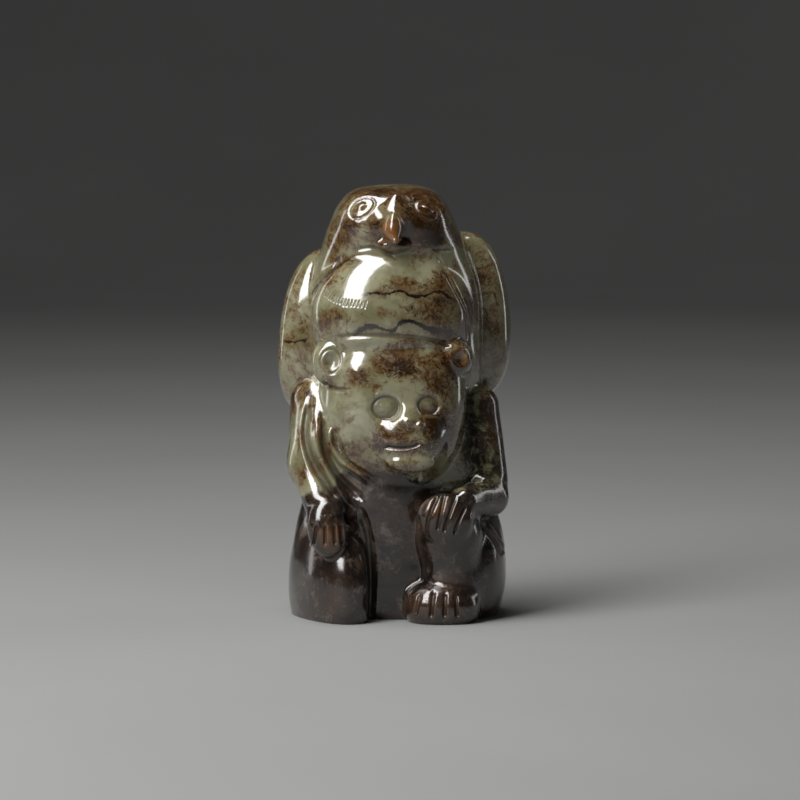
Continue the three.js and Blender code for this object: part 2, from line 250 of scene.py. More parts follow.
BIRD = [
    egg("bird body", [0.2, 1.4, 46.0], [13.3, 9.4, 13.0], [0, 0, 0], 2.3, 0),
    egg("mantle", [-0.3, 2.4, 52.3], [12.1, 8.6, 10.5], [0, 0, 0], 2.1, 3),
    egg("flanks", [0.3, 2.0, 37.5], [13.0, 8.5, 9.0], [0, 0, 0], 2.4, 3),
    egg("bird head", [-0.4, -0.5, 60.6], [9.0, 7.6, 6.1], [10, 0, 0], 2.6, 3.5),
    egg("crown", [-0.3, 0.4, 62.6], [7.4, 6.2, 3.9], [4, 0, 0], 3.4, 1.0),
    egg("nape", [-0.3, 1.6, 56.6], [9.7, 6.9, 8.4], [0, 0, 0], 2.3, 3),
    egg("breast", [-0.7, -3.3, 46.9], [12.3, 8.1, 11.2], [0, 0, 0], 2.05, 0.6),
    egg("cere", [0.1, -7.0, 62.1], [3.3, 2.1, 3.9], [10, 0, 0], 1.45, 0.5),
    egg("beak", [-0.3, -8.6, 60.6], [1.7, 2.3, 2.7], [25, 0, 0], 1.6, 0.5),
    limb("beak tip", [-0.3, -9.6, 60.4], [0.1, -10.7, 58.9], 1.1, 0.5, 0.6),
    egg("throat", [-0.2, -7.6, 58.0], [2.4, 1.5, 1.2], [0, 0, 0], 2.0, 0.6),
]

TAIL = [
    egg("tail", [0, 9.4, 20.5], [6.8, 3.2, 17.0], [-2, 0, 0], 3.0, 0),
]

WINGS = [
    egg("left wing", [-11.2, 5.6, 43.6], [7.0, 4.8, 13.4], [0, 7, 4], 2.4, 0),
    egg("right wing", [11.1, 5.6, 46.4], [6.9, 4.8, 13.2], [0, -5, -4], 2.4, 0.5),
]

LEGS = [
    egg("left leg", [-10.2, -3.0, 4.6], [5.0, 10.6, 11.4], [0, 0, 25], 2.15, 0),
    egg("right knee", [8.2, -6.6, 14.0], [5.0, 5.6, 5.6], [0, 0, 0], 2.3, 0.5),
    limb("right shin", [8.6, -6.6, 12.0], [9.0, -6.6, 5.0], 4.6, 4.8, 2),
    egg("right foot", [7.3, -7.4, 2.4], [6.0, 5.8, 4.2], [0, 0, 0], 2.3, 0.6),
    egg("right haunch", [11.4, 0.5, 7.5], [5.9, 9.5, 9.4], [0, 0, 0], 2.4, 0.8),
]

ARMS = [
    limb("left upper arm", [-12.4, -1.0, 33.5], [-13.0, -3.5, 23.5], 3.9, 3.6, 0),
    limb("left forearm", [-13.1, -4.0, 24.0], [-10.8, -9.0, 17.0], 3.4, 2.7, 1.5),
    egg("left sleeve", [-9.8, -3.4, 25.0], [5.6, 5.4, 10.5], [0, -10, 0], 2.2, 1.5),
    egg("left hand", [-10.4, -10.8, 14.4], [3.0, 2.3, 4.4], [0, -10, 0], 2.0, 1.2),
    limb("right upper arm", [12.6, 0.0, 32.5], [13.8, -1.5, 21.0], 3.6, 3.8, 1.0),
    limb("right forearm", [14.6, -3.5, 18.8], [10.5, -9.6, 18.6], 3.1, 2.4, 1.0),
    egg("right hand", [7.7, -11.4, 16.2], [4.3, 2.2, 3.9], [0, 30, 0], 2.0, 1.0),
]

BEAR_HEAD = [
    egg("skull", [-0.1, -3.7, 35.9], [11.2, 8.2, 9.4], [0, 0, 0], 2.5, 0),
    egg("jaw", [-0.3, -4.4, 29.3], [10.6, 7.4, 9.4], [0, 0, 0], 2.2, 3),
    egg("muzzle", [2.2, -9.8, 28.4], [5.4, 3.9, 4.7], [0, 0, 0], 2.2, 1.4),
    egg("nose bridge", [2.0, -11.0, 31.4], [2.2, 2.4, 2.6], [0, 0, 0], 2.0, 1.2),
    egg("left nostril", [2.1, -13.0, 31.4], [1.1, 0.9, 0.7], [0, 0, 0], 2.0, 0.3),
    egg("right nostril", [3.7, -12.9, 30.8], [0.9, 0.9, 0.7], [0, 0, 0], 2.0, 0.3),
    egg("lower lip", [2.4, -12.0, 25.1], [3.7, 1.7, 1.7], [0, 0, 0], 2.0, 0.4),
    egg("left ear", [-9.3, -6.7, 39.5], [3.4, 3.0, 4.3], [0, -28, 0], 2.0, 0.5),
    egg("right ear", [8.6, -6.6, 40.6], [3.4, 2.9, 3.2], [0, 25, 0], 2.0, 0.4),
    egg("brow", [-5.3, -10.2, 38.6], [1.5, 1.0, 1.1], [0, 30, 0], 1.7, 0.4),
]

CARVING = [
    dish([-5.5, -6.9, 64.2], [-0.45, -0.7, 0.55], 1.9, 0.3, 1.5, 40),
    dish([-5.5, -6.9, 64.2], [-0.45, -0.7, 0.55], 1.35, -0.55, 1.5, 40),
    ring([-5.5, -6.9, 64.2], [-0.45, -0.7, 0.55], 2.1, 0.34, 0.22, 1.4, 40),
    dish([5.3, -6.9, 63.9], [0.45, -0.7, 0.55], 1.9, 0.3, 1.5, -40),
    dish([5.3, -6.9, 63.9], [0.45, -0.7, 0.55], 1.35, -0.55, 1.5, -40),
    ring([5.3, -6.9, 63.9], [0.45, -0.7, 0.55], 2.1, 0.34, 0.22, 1.4, -40),
    dish([-1.3, -11.0, 33.3], [-0.1, -1, 0.1], 3.0, 1.1, 1.12),
    dish([-1.3, -11.0, 33.3], [-0.1, -1, 0.1], 2.1, -0.9, 1.2),
    ring([-1.3, -11.0, 33.3], [-0.1, -1, 0.1], 2.0, 0.32, 0.16, 1.2),
    dish([5.0, -11.0, 33.7], [0.25, -1, 0.1], 2.4, 0.8, 1.1),
    dish([5.0, -11.0, 33.7], [0.25, -1, 0.1], 1.6, -0.65, 1.15),
    ring([5.0, -11.0, 33.7], [0.25, -1, 0.1], 1.6, 0.3, 0.14, 1.15),
    dish([-9.9, -9.2, 40.3], [-0.4, -1, 0.1], 1.8, 0.9, 0.85),
    ring([-9.9, -9.2, 40.3], [-0.4, -1, 0.1], 1.6, 0.35, 0.2, 0.85),
    dish([9.9, -8.6, 40.6], [0.5, -1, 0.1], 1.5, 0.7, 1),
    line("front", [[-9.8, 43.2], [-6.0, 43.6], [0.0, 43.5], [5.0, 43.0], [9.0, 42.0]], 0.6, 0.35),
    line("front", [[-6.1, 57.0], [-3.3, 57.3], [-1.2, 56.4], [-0.1, 55.9]], 0.5, 0.25),
    line("front", [[5.8, 57.0], [8.7, 57.0]], 0.45, 0.2),
    line("front", [[-8.2, 56.4], [-9.9, 53.4], [-11.8, 51.3], [-12.8, 49.6]], 0.4, 0.2),
    line("front", [[6.3, 56.5], [9.7, 50.0], [11.0, 46.9], [11.3, 43.0]], 0.4, 0.2),
    line("front", [[-1.8, 26.3], [0.5, 26.0], [2.6, 26.2], [4.0, 26.8]], 0.45, 0.35),
    line("front", [[-8.8, 28.0], [-7.4, 24.2], [-4.0, 21.8]], 0.35, 0.25),
    line("front", [[-11.2, 36.6], [-9.6, 35.4], [-7.2, 35.1]], 0.5, 0.4),
    line("front", [[-13.2, 33.5], [-13.9, 28.5], [-13.0, 24.2], [-11.0, 20.6], [-9.0, 17.4]], 1.0, 0.9),
    line("front", [[-12.2, 30.5], [-12.1, 26.0], [-10.6, 22.7], [-8.4, 19.1], [-6.8, 16.4]], 0.8, -0.75),
    line("front", [[-11.2, 31.0], [-11.0, 26.0], [-9.6, 22.6], [-7.4, 20.2], [-5.2, 18.2]], 0.8, 0.8),
    line("front", [[-10.4, 29.5], [-10.0, 26.9], [-8.5, 24.0], [-6.0, 22.1], [-3.8, 20.5]], 0.8, -0.7),
    line("front", [[-5.2, 16.0], [-4.1, 12.0], [-3.7, 6.0], [-3.9, -0.6]], 0.9, 0.6),
    line("front", [[-12.2, 14.0], [-12.7, 10.8]], 0.42, 0.5),
    line("front", [[-10.9, 14.0], [-10.9, 10.8]], 0.42, 0.5),
    line("front", [[-9.5, 14.0], [-9.4, 10.8]], 0.42, 0.5),
    line("front", [[-8.5, 14.0], [-8.3, 10.8]], 0.42, 0.5),
    line("front", [[6.7, 18.6], [5.2, 15.0], [4.9, 12.2]], 0.42, 0.5),
    line("front", [[7.7, 18.6], [7.0, 15.4], [6.6, 13.0]], 0.42, 0.5),
    line("front", [[9.4, 18.2], [8.2, 15.0], [7.6, 12.8]], 0.42, 0.5),
    line("front", [[11.0, 17.0], [9.8, 14.4], [9.2, 12.4]], 0.42, 0.5),
    line("front", [[3.9, 3.0], [3.2, -0.2]], 0.4, 0.35),
    line("front", [[6.0, 3.4], [5.6, -0.6]], 0.5, 0.6),
    line("front", [[7.8, 3.2], [7.7, -0.6]], 0.5, 0.6),
    line("front", [[9.4, 2.8], [9.7, -0.6]], 0.5, 0.6),
    line("front", [[13.6, 14.4], [15.6, 11.8], [17.2, 9.4]], 0.8, 0.5),
    line("back", [[-1.4, 33], [-1.3, 20], [-1.2, 6.5]], 0.5, 0.4),
    line("back", [[1.4, 33], [1.3, 20], [1.2, 6.5]], 0.5, 0.4),
    line("back", [[-4.1, 32], [-4.2, 20], [-3.7, 7]], 0.5, 0.4),
    line("back", [[4.1, 32], [4.2, 20], [3.7, 7]], 0.5, 0.4),
    line("back", [[-15.2, 52], [-15.9, 43], [-15.0, 35]], 0.5, 0.4),
    line("back", [[-12.0, 54], [-12.9, 44], [-12.6, 34]], 0.5, 0.4),
    line("back", [[-8.8, 54], [-9.7, 44], [-10.0, 34]], 0.5, 0.4),
    line("back", [[15.2, 55], [15.9, 46], [15.0, 38]], 0.5, 0.4),
    line("back", [[12.0, 57], [12.9, 47], [12.6, 37]], 0.5, 0.4),
    line("back", [[8.8, 57], [9.7, 47], [10.0, 37]], 0.5, 0.4),
    line("left", [[-5.0, 16.5], [2.0, 18.6], [8.0, 14.0], [9.6, 7.0]], 0.8, 0.5),
    line("right", [[-3.0, 15.8], [3.0, 18.4], [8.6, 14.0], [10.0, 7.0]], 0.8, 0.5),
]

# Rows of feather strokes: side, slant from the row in degrees, length, path.
STROKE_ROWS = (
    ("front", 82, 0.95, ((-11.0, 50.4), (-9.6, 49.4), (-8.0, 48.8), (-6.2, 48.6), (-4.6, 48.4))),
)

# Finer lines that only this surface would show; none are listed.
FINE_CARVING = [
]

GROUPS = ((TORSO, 0), (BIRD, 1.0), (TAIL, 0.8), (WINGS, 0.6), (LEGS, 0.6), (ARMS, 0.7), (BEAR_HEAD, 0.5))


def waves(count, low, high, seed):
    """Slow waves in all directions: the slight unevenness of a surface polished by hand."""
    rng = np.random.default_rng(seed)
    turn = rng.normal(size=(count, 3))
    turn /= np.linalg.norm(turn, axis=1)[:, None]
    length = rng.uniform(low, high, count)
    phase = rng.uniform(0, 2 * math.pi, count)
    return (turn * (2 * math.pi / length)[:, None]).T.astype(F), phase.astype(F), (length / high).astype(F)


UNEVEN = waves(14, 3.5, 9.0, 11)
UNEVEN_DEPTH = 0.014


def rounded(parts, p):
    d = None
    for distance, soft in parts:
        v = distance(p)
        d = v if d is None else join(d, v, soft)
    return d


def form(p, cuts):
    """Distance from the carving's surface, in millimetres; less than nothing is inside."""
    p = p.astype(F)
    d = None
    for parts, soft in GROUPS:
        v = rounded(parts, p)
        d = v if d is None else join(d, v, soft)
    near = np.abs(d) < 3
    q, dn = p[near], d[near]
    for cut in cuts:
        dn = cut(q, dn)
    turn, phase, size = UNEVEN
    dn = dn + UNEVEN_DEPTH * (np.sin(q @ turn + phase) * size).sum(1)
    d = d.copy()
    d[near] = dn
    return np.maximum(d, -p[:, 2])


def field(p):
    return form(p, CARVING + FINE_CARVING)


def slope_of(f, p, h=0.04):
    steps = np.eye(3) * h
    return np.stack([(f(p + s) - f(p - s)) / (2 * h) for s in steps], 1)


def unit(v):
    return v / np.maximum(np.linalg.norm(v, axis=1), 1e-9)[:, None]


def settle(f, v, rounds=2):
    """Moves points onto the surface."""
    for _ in range(rounds):
        g = slope_of(f, v)
        v = v - np.clip(f(v) / np.maximum((g * g).sum(1), 0.2), -0.2, 0.2)[:, None] * g
    return v


# The surface as triangles.


def polygonise(f, lo, hi, cell, block):
    """Even four-sided faces over the surface, worked out only in the blocks near it."""
    lo, hi = np.array(lo, float), np.array(hi, float)
    n = np.ceil((hi - lo) / (cell * block)).astype(int) * block + 1
    axes = [(lo[i] + cell * np.arange(n[i])).astype(F) for i in range(3)]
    coarse = np.stack(np.meshgrid(*[a[::block] for a in axes], indexing="ij"), -1)
    rough = f(coarse.reshape(-1, 3)).reshape(coarse.shape[:3])

    def spread(values):
        for axis in range(3):
            values = np.repeat(values, block, axis)
        return values

    d = spread(rough)[:n[0], :n[1], :n[2]].copy()
    near = spread(np.abs(rough) < cell * block * 1.8)[(slice(block // 2, None),) * 3]
    wanted = np.zeros(tuple(n), bool)
    part = tuple(slice(0, min(n[i], near.shape[i])) for i in range(3))
    wanted[part] = near[part]
    at = np.argwhere(wanted)
    points = np.stack([axes[k][at[:, k]] for k in range(3)], 1)
    d[wanted] = np.concatenate([f(c) for c in np.array_split(points, max(1, len(points) // 200000))])

    inside = d < 0
    cells = tuple(k - 1 for k in n)
    total = np.zeros(cells + (3,), F)
    count = np.zeros(cells, F)
    for axis in range(3):
        a = tuple(slice(0, -1) if k == axis else slice(None) for k in range(3))
        b = tuple(slice(1, None) if k == axis else slice(None) for k in range(3))
        crosses = inside[a] != inside[b]
        at = np.argwhere(crosses)
        da, db = d[a][crosses], d[b][crosses]
        point = at.astype(F)
        point[:, axis] += da / (da - db)
        u, v = (axis + 1) % 3, (axis + 2) % 3
        for i in (0, 1):
            for j in (0, 1):
                c = at.copy()
                c[:, u] -= i
                c[:, v] -= j
                ok = (c >= 0).all(1) & (c < np.array(cells)).all(1)
                place = tuple(c[ok].T)
                np.add.at(total, place, point[ok])
                np.add.at(count, place, 1)
    used = count > 0
    ids = np.full(cells, -1)
    ids[used] = np.arange(used.sum())
    vertices = lo + cell * total[used].astype(float) / count[used][:, None]
    quads = []
    for axis in range(3):
        a = tuple(slice(0, -1) if k == axis else slice(1, -1) for k in range(3))
        b = tuple(slice(1, None) if k == axis else slice(1, -1) for k in range(3))
        u, v = (axis + 1) % 3, (axis + 2) % 3
        for leaving in (True, False):
            base = np.argwhere((inside[a] & ~inside[b]) if leaving else (~inside[a] & inside[b]))
            base[:, u] += 1
            base[:, v] += 1
            corner = []
            for du, dv in ((0, 0), (1, 0), (1, 1), (0, 1)):
                c = base.copy()
                c[:, u] -= du
                c[:, v] -= dv
                corner.append(ids[tuple(c.T)])
            q = np.stack(corner, 1)
            quads.append(q if leaving else q[:, ::-1])
    return vertices, np.concatenate(quads)


def triangles_of(v, quads):
    """Cuts each four-sided face along its shorter diagonal."""
    short = np.linalg.norm(v[quads[:, 0]] - v[quads[:, 2]], axis=1) \
        < np.linalg.norm(v[quads[:, 1]] - v[quads[:, 3]], axis=1)
    a, b = quads[short], quads[~short]
    return np.concatenate([a[:, [0, 1, 2]], a[:, [0, 2, 3]], b[:, [0, 1, 3]], b[:, [1, 2, 3]]])


def refine(v, tri, coarse):
    """Halves the edges that coarse() picks, longest first, and leaves no gap between faces."""
    pairs = np.sort(np.concatenate([tri[:, [0, 1]], tri[:, [1, 2]], tri[:, [2, 0]]]), 1)
    edges, of = np.unique(pairs, axis=0, return_inverse=True)
    of = of.reshape(3, -1).T
    length = np.linalg.norm(v[edges[:, 0]] - v[edges[:, 1]], axis=1)
    longest = np.argmax(length[of], 1)
    split = coarse(edges, length)
    while True:
        need = split[of].any(1)
        chosen = of[np.arange(len(of)), longest][need]
        if split[chosen].all():
            break
        split[chosen] = True
    middle = np.full(len(edges), -1)
    middle[split] = len(v) + np.arange(split.sum())
    v = np.concatenate([v, v[edges[split]].mean(1)])
    rows = np.arange(len(tri))
    order = [(longest + k) % 3 for k in range(3)]
    a, b, c = (tri[rows, o] for o in order)
    m, p, q = (middle[of[rows, o]] for o in order)
    kept = m < 0
    out = [np.stack([a, b, c], 1)[kept]]
    for hit, faces in (
        ((m >= 0) & (p < 0), ((m, b, c),)),
        ((m >= 0) & (p >= 0), ((m, b, p), (m, p, c))),
        ((m >= 0) & (q < 0), ((a, m, c),)),
        ((m >= 0) & (q >= 0), ((a, m, q), (q, m, c))),
    ):
        out += [np.stack(f, 1)[hit] for f in faces]
    return v, np.concatenate(out)


# Where the stone is stained, and where shade and highlights are painted on like stains. Each row: side, place in its
# drawing plane, half sizes, lean, amount.

RUSSET = (
    ("front", 0.5, 39.5, 3.7, 2.2, 0, 1.0),
    ("front", -1.6, 41.1, 1.9, 0.9, 10, 0.55),
    ("front", -5.7, 37.2, 1.9, 1.6, 0, 0.95),
    ("front", -3.3, 35.8, 1.6, 0.9, 0, 0.55),
    ("front", -9.4, 35.8, 2.0, 0.8, -25, 0.55),
    ("front", 4.0, 38.0, 2.8, 1.6, 0, 0.75),
    ("front", 8.9, 39.4, 2.8, 3.0, 0, 0.8),
    ("front", 7.2, 35.1, 2.2, 1.9, 0, 0.65),
    ("front", 0.1, 28.6, 2.8, 1.9, 0, 0.85),
    ("front", -2.3, 27.2, 2.2, 1.2, 0, 0.7),
    ("front", 0.9, 26.1, 5.3, 1.1, 0, 0.95),
    ("front", 6.5, 29.5, 3.1, 3.7, 0, 0.95),
    ("front", -6.6, 25.3, 2.2, 1.4, -40, 0.85),
    ("front", -1.5, 22.7, 5.3, 1.4, 0, 0.8),
    ("front", -9.1, 28.7, 0.8, 0.6, 0, 0.55),
    ("front", -6.8, 30.6, 0.6, 0.6, 0, 0.45),
    ("front", -11.0, 45.6, 1.9, 2.2, 0, 0.75),
    ("front", -8.3, 46.1, 1.9, 1.4, 0, 0.5),
    ("front", -7.7, 55.1, 2.6, 1.2, 25, 0.65),
    ("front", -10.2, 52.2, 1.6, 1.7, 0, 0.5),
    ("front", -1.5, 50.4, 1.4, 1.1, 0, 0.6),
    ("front", 1.2, 51.7, 2.0, 1.2, 0, 0.6),
    ("front", 3.3, 50.6, 2.5, 1.4, 0, 0.6),
    ("front", 7.1, 51.7, 1.9, 2.3, 0, 0.6),
    ("front", 7.2, 49.0, 2.8, 1.2, 0, 0.65),
    ("front", 2.6, 47.5, 3.4, 1.2, 0, 0.5),
    ("front", 5.7, 46.5, 2.5, 1.4, 0, 0.6),
    ("front", -2.1, 47.0, 0.8, 0.9, 0, 0.65),
    ("front", 7.4, 43.6, 2.2, 1.4, 0, 0.8),
    ("front", 2.4, 42.3, 2.5, 1.1, 0, 0.55),
    ("front", 0.1, 59.2, 2.2, 2.0, 0, 1.0),
    ("front", -2.4, 59.5, 1.7, 1.9, 0, 0.75),
    ("front", 4.1, 60.9, 3.1, 3.7, 0, 0.9),
    ("front", -0.4, 65.3, 5.6, 1.1, 0, 0.85),
    ("front", -7.7, 59.8, 1.2, 2.7, 0, 0.5),
    ("front", -9.4, 57.3, 0.9, 2.2, 0, 0.6),
    ("front", -6.6, 60.7, 1.2, 0.9, 0, 0.55),
    ("front", 0.9, 57.3, 2.6, 0.9, 0, 0.65),
    ("front", 11.6, 47.2, 1.2, 5.9, -12, 0.8),
    ("front", -14.7, 55.1, 1.2, 1.6, 0, 0.65),
    ("front", -16.6, 49.2, 1.4, 2.3, 0, 0.6),
    ("front", -17.3, 43.3, 1.4, 1.9, 0, 0.75),
    ("front", -15.0, 45.8, 1.4, 1.4, 0, 0.55),
    ("front", -16.6, 33.9, 1.4, 2.3, 0, 0.7),
    ("front", 14.2, 52.9, 2.0, 3.4, 0, 0.55),
    ("front", 16.4, 48.7, 1.4, 4.1, 0, 0.65),
    ("front", 15.6, 41.7, 1.7, 5.0, 0, 0.75),
    ("front", -12.1, 30.8, 0.9, 3.7, 5, 0.8),
    ("front", -10.2, 25.5, 0.8, 3.4, -20, 0.7),
    ("front", -14.7, 27.8, 0.9, 1.9, 0, 0.5),
    ("front", -13.1, 22.7, 1.1, 2.5, -25, 0.65),
    ("front", -15.2, 22.0, 1.1, 2.2, 0, 0.5),
    ("front", -10.8, 38.3, 0.9, 1.2, 0, 0.35),
    ("front", -13.9, 34.8, 1.2, 1.6, 0, 0.4),
    ("front", 15.6, 29.8, 1.1, 4.1, 0, 0.9),
    ("front", 15.9, 17.7, 1.6, 1.9, 0, 0.9),
    ("front", 15.3, 10.9, 1.4, 3.4, 20, 0.75),
    ("front", 5.5, 2.4, 4.0, 2.5, 0, 0.75),
    ("front", 6.5, 16.7, 2.5, 1.6, 0, 0.6),
    ("front", -10.0, 12.5, 2.5, 2.8, 0, 0.5),
    ("front", 4.0, 11.7, 1.4, 2.8, 0, 0.5),
    ("front", -6.9, 19.2, 2.2, 1.4, 0, 0.35),
)
# Dark stains, and painted shade: under the chin, on the belly and down the right side of the face and body.
DARK_STAINS_AND_SHADE = (
    ("front", 1.2, 38.6, 1.7, 1.2, 0, 0.8),
    ("front", 0.7, 26.2, 4.7, 0.6, 0, 0.9),
    ("front", 7.2, 28.7, 2.2, 2.8, 0, 0.7),
    ("front", 1.2, 59.3, 1.1, 1.4, 0, 1.0),
    ("front", 5.7, 58.4, 1.7, 1.7, 0, 0.8),
    ("front", 9.4, 38.1, 1.6, 1.6, 0, 0.5),
    ("front", -16.9, 42.3, 1.1, 0.8, 0, 0.8),
    ("front", 6.5, 44.5, 2.2, 0.8, 0, 0.6),
    ("front", -1.9, 51.4, 0.8, 0.8, 0, 0.5),
    ("front", 7.2, 49.2, 2.2, 0.6, 0, 0.6),
    ("front", -12.1, 18.8, 1.6, 1.6, 0, 0.5),
    ("front", -6.9, 10.5, 1.2, 4.7, 0, 0.5),
    ("front", -1.5, 3.9, 3.4, 2.5, 0, 0.8),
    ("front", -4.6, 8.6, 1.2, 6.2, 0, 0.6),
    ("front", -14.7, 8.6, 1.6, 2.2, 0, 0.5),
    ("front", 4.0, 21.1, 3.7, 1.2, 0, 0.8),
    ("front", 11.7, 22.7, 2.8, 4.7, 0, 0.7),
    ("front", -9.1, 35.1, 1.9, 0.5, -25, 0.5),
    ("front", 2.1, 6.9, 1.4, 1.1, 0, 0.8),
    ("front", 11.7, 27.3, 1.6, 6.2, 0, 0.7),
    ("front", -0.4, 17.2, 2.5, 1.2, 0, 0.5),
    ("front", 8.6, 8.6, 3.1, 2.5, 0, 0.5),
)
# Pale spots in the stone, and painted highlights on the chest and the forehead.
PALE_SPOTS_AND_HIGHLIGHTS = (
    ("front", -10.0, 39.5, 2.2, 2.5, 0, 0.8),
    ("front", -14.7, 35.1, 1.6, 4.1, 0, 0.5),
    ("front", -15.0, 27.3, 0.8, 5.6, 0, 0.5),
    ("front", -8.5, 27.3, 2.2, 4.1, 0, 0.4),
    ("front", -6.9, 32.8, 2.8, 2.8, 0, 0.5),
    ("front", -6.1, 20.8, 3.1, 2.2, -30, 0.9),
    ("front", -14.2, 13.1, 0.9, 1.2, 0, 0.9),
    ("front", 6.6, 2.8, 1.9, 1.6, 0, 0.7),
    ("front", 4.6, 42.0, 1.6, 0.8, 0, 0.6),
    ("front", -3.5, 41.4, 2.8, 0.9, 0, 0.5),
    ("front", -13.1, 25.0, 1.2, 4.1, -20, 0.3),
    ("front", 2.9, 3.6, 1.2, 1.2, 0, 0.5),
    ("front", -0.7, 22.7, 3.1, 1.6, 0, 0.2),
    ("front", -1.5, 12.5, 2.5, 2.2, 0, 0.45),
    ("front", -2.3, 7.8, 1.6, 1.6, 0, 0.35),
    ("front", 4.0, 16.4, 1.2, 1.2, 0, 0.3),
)


def stain(rows, p, soft=1.7):
    """How much of a stain, or of painted shade or highlight, each point has, from 0 to 1."""
    total = np.zeros(len(p), F)
    for facing, x, w, rx, rw, lean, amount in rows:
        q, side = seen(p, facing)
        c, s = math.cos(math.radians(lean)), math.sin(math.radians(lean))
        a, b = q[:, 0] - x, q[:, 1] - w
        r = np.hypot((a * c + b * s) / rx, (b * c - a * s) / rw)
        total = 1 - (1 - total) * (1 - amount * side * bump(r / soft))
    return total


def mottle(p):
    """How freckled the stone is away from its main stains: most on the wings, the head and the back."""
    q, side = seen(p, "front")
    x, w = q[:, 0], q[:, 1]
    wing = ease(12.6, 13.6, np.abs(x)) * ease(30, 33, w)
    head = ease(56.5, 58.5, w)
    right = ease(3, 10, x)
    return 0.1 + side * (0.42 * np.maximum(wing, head) + 0.18 * right) + 0.3 * (1 - side)


def dusk(p):
    """How dark and grey the stone is: its own dark lower half below the chin, less on the left arm, and painted shade
    at the right arm and the right side, away from the light.
    """
    q, side = seen(p, "front")
    x, w = q[:, 0], q[:, 1]
    low = 1 - ease(21.0, 24.0, w + 0.35 * np.maximum(x, 0))
    arm = (1 - ease(-10.5, -8.0, x)) * ease(16.0, 21.0, w)
    # Painted shade: the right side below the head is darkened as if in shadow.
    right = ease(9.5, 11.5, x) * (1 - ease(33, 38, w))
    front = np.maximum(low * (1 - 0.75 * arm), 0.6 * right)
    back = 1 - ease(15.0, 27.0, p[:, 2])
    return side * front + (1 - side) * back


# Strokes cut in rows: each row follows a path on one side of the carving.


def on_surface(facing, path):
    """The points of a drawn path, set down on the surface."""
    path = np.array(smooth_path(path), float)

    def point(t):
        if facing == "front":
            near = 1 / (1 + t / SEEN_FROM)
            z = SEEN_MID + (path[:, 1] - SEEN_MID) / near - SEEN_SLOPE * t
            return np.stack([path[:, 0] / near, t, z], 1)
        return np.stack([path[:, 0], -t, path[:, 1]], 1)

    t = np.full(len(path), -20.0)
    for _ in range(60):
        t += np.clip(field(point(t)), -0.5, 2.0) * 0.8
    return point(t)


def guide_lines(rows):
    """One open path for each row of strokes, with the surface's direction and each row's sizes."""
    points, outs, edges, slants, lengths = [], [], [], [], []
    for facing, slant, length, path in rows:
        at = on_surface(facing, path)
        first = len(points)
        points += list(at)
        outs += list(unit(slope_of(field, at)))
        edges += [(first + i, first + i + 1) for i in range(len(at) - 1)]
        slants += [math.radians(slant)] * len(at)
        lengths += [length * MM] * len(at)
    mesh = bpy.data.meshes.new("stroke_guides")
    mesh.from_pydata((np.array(points) * MM).tolist(), edges, [])
    put(mesh, "out", outs, "FLOAT_VECTOR")
    put(mesh, "slant", slants)
    put(mesh, "long", lengths)
    return mesh, np.array(points), np.array(edges)


def put(mesh, name, values, kind="FLOAT"):
    """Stores one value at each point of a mesh."""
    values = np.asarray(values, F)
    mesh.attributes.new(name, kind, "POINT").data.foreach_set("vector" if values.ndim > 1 else "value", values.ravel())


def near_guides(p, points, edges, reach):
    """True for points that lie close to a row of strokes."""
    near = np.zeros(len(p), bool)
    for a, b in edges:
        lo = np.minimum(points[a], points[b]) - reach
        hi = np.maximum(points[a], points[b]) + reach
        near |= np.all((p > lo) & (p < hi), axis=1)
    return near


def carve(points, edges):
    """The carving's surface: places, faces and outward directions."""
    low, high = REACH
    v, quads = polygonise(field, low, high, CELL, BLOCK)
    v = settle(field, v)
    tri = triangles_of(v, quads)
    out = unit(slope_of(field, v))
    bent = math.cos(math.radians(BENT))

    for _ in range(ROUNDS):
        stroked = near_guides(v, points, edges, 0.75)

        def coarse(e, length):
            turn = (out[e[:, 0]] * out[e[:, 1]]).sum(1)
            return ((turn < bent) & (length > 2 * SHORTEST)) \
                | (stroked[e].all(1) & (length > STROKE_EDGE))

        before = len(v)
        v, tri = refine(v, tri, coarse)
        v[before:] = settle(field, v[before:])
        out = np.concatenate([out, unit(slope_of(field, v[before:]))])
    v[v[:, 2] < 0.05, 2] = 0
    return v, tri, out


def stone_mesh(v, tri, out, middle):
    """The mesh, with what its material needs to know at each point."""
    mesh = bpy.data.meshes.new(PIECE)
    mesh.from_pydata(((v - middle) * MM).tolist(), [], tri.tolist())
    mesh.shade_smooth()
    room = field(v + out * 1.2) / 1.2
    depth = -field(v - out * 3.5) / 3.5
    cut = form(v, CARVING + FINE_CARVING) - form(v, [])
    put(mesh, "russet", stain(RUSSET, v))
    # umber: dark stains, and painted shade under the chin, on the belly and down the right side.
    put(mesh, "umber", stain(DARK_STAINS_AND_SHADE, v))
    # pale: pale spots, and painted highlights on the chest and the forehead.
    put(mesh, "pale", stain(PALE_SPOTS_AND_HIGHLIGHTS, v))
    put(mesh, "mottle", mottle(v))
    # dusk: the dark lower stone, and painted shade down the right side.
    put(mesh, "dusk", dusk(v))
    # hollow: painted shade where nearby parts close the surface in, and dirt in the carved lines.
    put(mesh, "hollow", np.clip(1 - room, 0, 1) + 0.6 * np.clip(cut / 0.35, 0, 1))
    # thin: where light would shine through, for the painted glow.
    put(mesh, "thin", np.clip(1 - depth, 0, 1))
    mesh.validate()
    return mesh


# Node trees: a wire is a node's output that can stand in sums.


